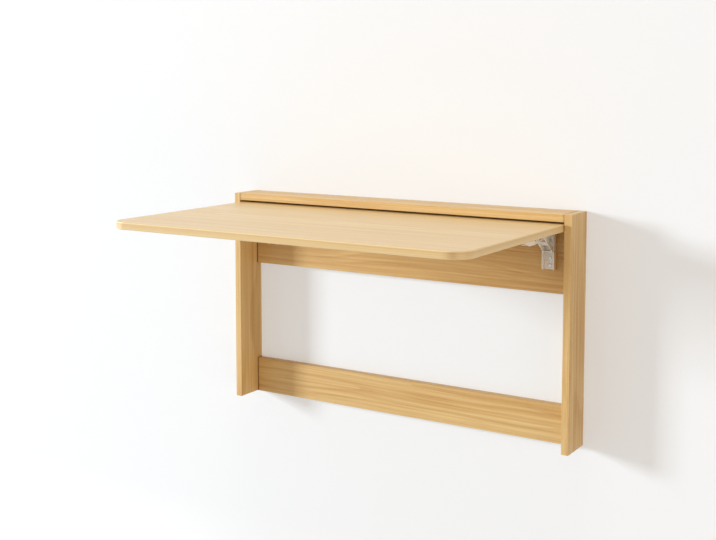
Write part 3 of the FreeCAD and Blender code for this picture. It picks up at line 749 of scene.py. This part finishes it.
class RoomLook(bpy.types.PropertyGroup):
    """The wall, the floor, the light and the camera."""

    wall: FloatVectorProperty(
        name="Wall and floor",
        description="Plain pale paint",
        subtype="COLOR",
        default=(0.59, 0.612, 0.64),
        min=0.0,
        max=1.0,
    )
    wall_lift: FloatProperty(
        name="Paler",
        description="How much paler the wall and floor look than their paint",
        default=0.33,
        min=0.0,
        max=1.0,
    )
    wall_contact: FloatProperty(
        name="Contact",
        description="What is nearer to the wall than this gets light through it",
        default=0.01,
        min=0.0,
        max=0.1,
        unit="LENGTH",
    )
    backdrop: FloatProperty(
        name="Backdrop",
        description="How pale it is beyond the wall and floor: 1 is white",
        default=0.95,
        min=0.0,
        max=1.0,
    )
    floor_drop: FloatProperty(
        name="Floor below the desk",
        description="From the frame's lower end to the floor",
        default=0.75,
        min=0.2,
        max=3.0,
        unit="LENGTH",
    )
    sky: FloatProperty(
        name="Light from all round",
        description="Strength of the even light",
        default=0.5,
        min=0.0,
        max=2.0,
    )
    window_power: FloatProperty(
        name="Window light",
        description="Power of the far light on the left",
        default=1480.0,
        min=0.0,
        max=3000.0,
        unit="POWER",
    )
    ceiling_power: FloatProperty(
        name="Ceiling light",
        description="Power of the wide light overhead",
        default=66.0,
        min=0.0,
        max=1000.0,
        unit="POWER",
    )
    fill_power: FloatProperty(
        name="Fill light",
        description="Power of the weak light on the right",
        default=40.0,
        min=0.0,
        max=1000.0,
        unit="POWER",
    )
    camera_place: FloatVectorProperty(
        name="Camera",
        description="Where the camera stands",
        subtype="TRANSLATION",
        default=(1.4214, -2.4967, 0.3805),
    )
    camera_pan: FloatProperty(
        name="Pan",
        description="How far left of straight ahead the camera looks",
        default=math.radians(32.104),
        subtype="ANGLE",
    )
    camera_tilt: FloatProperty(
        name="Tilt",
        description="How far below level the camera looks",
        default=math.radians(5.0),
        subtype="ANGLE",
    )
    camera_lens: FloatProperty(
        name="Lens",
        description="Focal length on a 36 mm sensor",
        default=57.773,
        min=10.0,
        max=300.0,
        subtype="DISTANCE_CAMERA",
    )
    camera_shift: FloatProperty(
        name="Lens shift",
        description="How far the view is moved up, or down below 0, as a share of its width",
        default=-0.1257,
        min=-0.5,
        max=0.5,
    )


class WallDeskLook(bpy.types.PropertyGroup):
    """Everything that a user can change on the desk and in its room."""

    frame_oak: PointerProperty(type=OakLook)
    desk_oak: PointerProperty(type=DeskOakLook)
    hardware: PointerProperty(type=HardwareLook)
    room: PointerProperty(type=RoomLook)


# ---------------------------------------------------------------- operators


class WALLDESK_OT_finish_frame(bpy.types.Operator):
    """Oak on the posts, the top board and the two rails, each board with a figure of its own."""

    bl_idname = "walldesk.finish_frame"
    bl_label = "Finish the frame"

    def execute(self, context):
        look = context.scene.wall_desk.frame_oak
        for board, cut in FRAME_BOARDS.items():
            right_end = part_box(board)[1][0]
            give(board, board_oak(f"oak_{board}", cut, look, right_end))
        return {"FINISHED"}


class WALLDESK_OT_finish_desktop(bpy.types.Operator):
    """Paler oak on the desktop, with a band of it round the edges."""

    bl_idname = "walldesk.finish_desktop"
    bl_label = "Finish the desktop"

    def execute(self, context):
        look = context.scene.wall_desk.desk_oak
        underside, top = (corner[2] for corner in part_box("desktop"))
        give("desktop", panel_oak("oak_desktop", DESKTOP_CUT, look, underside, top))
        return {"FINISHED"}


class WALLDESK_OT_finish_joinery(bpy.types.Operator):
    """Beech dowels and plated cam fittings in the joints of the frame."""

    bl_idname = "walldesk.finish_joinery"
    bl_label = "Finish the joinery"

    def execute(self, context):
        look = context.scene.wall_desk.hardware
        along_bolts = (300.0, 2500.0, 2500.0)
        along_discs = (2000.0, 300.0, 2000.0)
        give("wood_dowels", beech("beech_dowels", look.dowel))
        give("cam_bolts", brushed("zinc_cam_bolts", look.zinc, 0.3, along_bolts))
        give("cam_discs", brushed("zinc_cam_discs", look.zinc, 0.36, along_discs))
        return {"FINISHED"}


class WALLDESK_OT_finish_brackets(bpy.types.Operator):
    """Powder coat on the legs, arms and struts of both folding brackets."""

    bl_idname = "walldesk.finish_brackets"
    bl_label = "Finish the brackets"

    def execute(self, context):
        look = context.scene.wall_desk.hardware
        paint = coated("powder_coat_brackets", look.paint, look.paint_roughness, fineness=900.0)
        for side in SIDES:
            for part in ("wall_leg", "desk_arm", "strut"):
                give(f"{side}_{part}", paint)
        return {"FINISHED"}


class WALLDESK_OT_finish_fasteners(bpy.types.Operator):
    """Plated steel on the screws, rivets and pins."""

    bl_idname = "walldesk.finish_fasteners"
    bl_label = "Finish the fasteners"

    def execute(self, context):
        look = context.scene.wall_desk.hardware
        along_pins = (400.0, 2600.0, 2600.0)
        along_screws = (2200.0, 2200.0, 500.0)
        turned = brushed("zinc_pins", look.zinc, 0.28, along_pins)
        driven = brushed("zinc_screws", look.zinc, 0.33, along_screws)
        for side in SIDES:
            for part in ("pivot_rivet", "foot_pin", "slide_pin", "spring_rivet"):
                give(f"{side}_{part}", turned)
            for part in ("leg_screws", "arm_screws"):
                give(f"{side}_{part}", driven)
        return {"FINISHED"}


class WALLDESK_OT_finish_springs(bpy.types.Operator):
    """A smoother white coat on the two locking springs and their finger tabs."""

    bl_idname = "walldesk.finish_springs"
    bl_label = "Finish the locking springs"

    def execute(self, context):
        look = context.scene.wall_desk.hardware
        coat = coated("coat_locking_springs", look.spring, look.spring_roughness, fineness=1400.0)
        for side in SIDES:
            give(f"{side}_lock_spring", coat)
        return {"FINISHED"}


class WALLDESK_OT_finish_spacers(bpy.types.Operator):
    """Natural nylon on the spacers of the slide pins."""

    bl_idname = "walldesk.finish_spacers"
    bl_label = "Finish the spacers"

    def execute(self, context):
        plain = nylon("nylon_spacers", context.scene.wall_desk.hardware.nylon)
        for side in SIDES:
            give(f"{side}_slide_spacers", plain)
        return {"FINISHED"}


class WALLDESK_OT_build_room(bpy.types.Operator):
    """A plain wall that curves into a plain floor."""

    bl_idname = "walldesk.build_room"
    bl_label = "Build the room"

    def execute(self, context):
        look = context.scene.wall_desk.room
        line = room_outline(CAD_LOW.z - look.floor_drop, CAD_HIGH.y + WALL_GAP)
        points = [(x, y, z) for y, z in line for x in (-ROOM_HALF_WIDTH, ROOM_HALF_WIDTH)]
        faces = [(2 * k, 2 * k + 1, 2 * k + 3, 2 * k + 2) for k in range(len(line) - 1)]
        mesh = bpy.data.meshes.new("room")
        mesh.from_pydata(points, [], faces)
        for face in mesh.polygons:
            face.use_smooth = True
        mesh.flip_normals()
        mesh.materials.append(wall_paint(look))
        room = bpy.data.objects.new("room", mesh)
        context.scene.collection.objects.link(room)
        return {"FINISHED"}


class WALLDESK_OT_light_room(bpy.types.Operator):
    """Even light, a far window on the left, a wide light overhead and a weak one on the right."""

    bl_idname = "walldesk.light_room"
    bl_label = "Light the room"

    def execute(self, context):
        look = context.scene.wall_desk.room
        context.scene.world = room_air(look)
        area_light(
            context,
            "window_light",
            place=window_place(),
            aim=WINDOW_AIM,
            size=(1.9, 2.4),
            power=look.window_power,
            colour=(0.86, 0.94, 1.0),
        )
        area_light(
            context,
            "ceiling_light",
            place=(-0.2, -0.55, 4.2),
            aim=(0.0, -0.4, 0.0),
            size=(3.0, 0.9),
            power=look.ceiling_power,
        )
        area_light(
            context,
            "fill_light",
            place=(4.0, -2.2, -0.4),
            aim=(0.0, -0.2, -0.1),
            size=(3.0, 2.0),
            power=look.fill_power,
            colour=(1.0, 0.86, 0.7),
        )
        return {"FINISHED"}


class WALLDESK_OT_place_camera(bpy.types.Operator):
    """A camera to the right of the desk and a little above it."""

    bl_idname = "walldesk.place_camera"
    bl_label = "Place the camera"

    def execute(self, context):
        look = context.scene.wall_desk.room
        data = bpy.data.cameras.new("camera")
        data.sensor_width = SENSOR_WIDTH
        data.lens = look.camera_lens
        data.shift_y = look.camera_shift
        camera = bpy.data.objects.new("camera", data)
        camera.location = look.camera_place
        camera.rotation_euler = Euler((math.pi / 2 - look.camera_tilt, 0.0, look.camera_pan))
        context.scene.collection.objects.link(camera)
        context.scene.camera = camera
        context.scene.view_settings.view_transform = "Standard"
        return {"FINISHED"}


# ---------------------------------------------------------------- panel and registration


class WALLDESK_PT_looks(bpy.types.Panel):
    """The desk's finishes and its room, in the sidebar."""

    bl_idname = "WALLDESK_PT_looks"
    bl_label = "Wall desk"
    bl_space_type = "VIEW_3D"
    bl_region_type = "UI"
    bl_category = "Wall desk"

    def draw(self, context):
        look = context.scene.wall_desk
        fittings = ("joinery", "brackets", "fasteners", "springs", "spacers")
        for title, group, steps in (
            ("Frame", look.frame_oak, ("finish_frame",)),
            ("Desktop", look.desk_oak, ("finish_desktop",)),
            ("Hardware", look.hardware, [f"finish_{part}" for part in fittings]),
            ("Room", look.room, ("build_room", "light_room", "place_camera")),
        ):
            box = self.layout.box()
            box.label(text=title)
            for key in group.__annotations__:
                box.prop(group, key)
            for step in steps:
                box.operator(f"walldesk.{step}")


CLASSES = (
    OakLook,
    DeskOakLook,
    HardwareLook,
    RoomLook,
    WallDeskLook,
    WALLDESK_OT_finish_frame,
    WALLDESK_OT_finish_desktop,
    WALLDESK_OT_finish_joinery,
    WALLDESK_OT_finish_brackets,
    WALLDESK_OT_finish_fasteners,
    WALLDESK_OT_finish_springs,
    WALLDESK_OT_finish_spacers,
    WALLDESK_OT_build_room,
    WALLDESK_OT_light_room,
    WALLDESK_OT_place_camera,
    WALLDESK_PT_looks,
)


def register():
    """Make the settings, the steps and the panel known."""
    for made in CLASSES:
        bpy.utils.register_class(made)
    bpy.types.Scene.wall_desk = PointerProperty(type=WallDeskLook)


def unregister():
    """Take the settings, the steps and the panel away again."""
    del bpy.types.Scene.wall_desk
    for made in reversed(CLASSES):
        bpy.utils.unregister_class(made)


def main():
    """Dress the desk and build its room, with its lights and its camera."""
    register()
    bpy.ops.walldesk.finish_frame()
    bpy.ops.walldesk.finish_desktop()
    bpy.ops.walldesk.finish_joinery()
    bpy.ops.walldesk.finish_brackets()
    bpy.ops.walldesk.finish_fasteners()
    bpy.ops.walldesk.finish_springs()
    bpy.ops.walldesk.finish_spacers()
    bpy.ops.walldesk.build_room()
    bpy.ops.walldesk.light_room()
    bpy.ops.walldesk.place_camera()


if __name__ == "__main__":
    main()
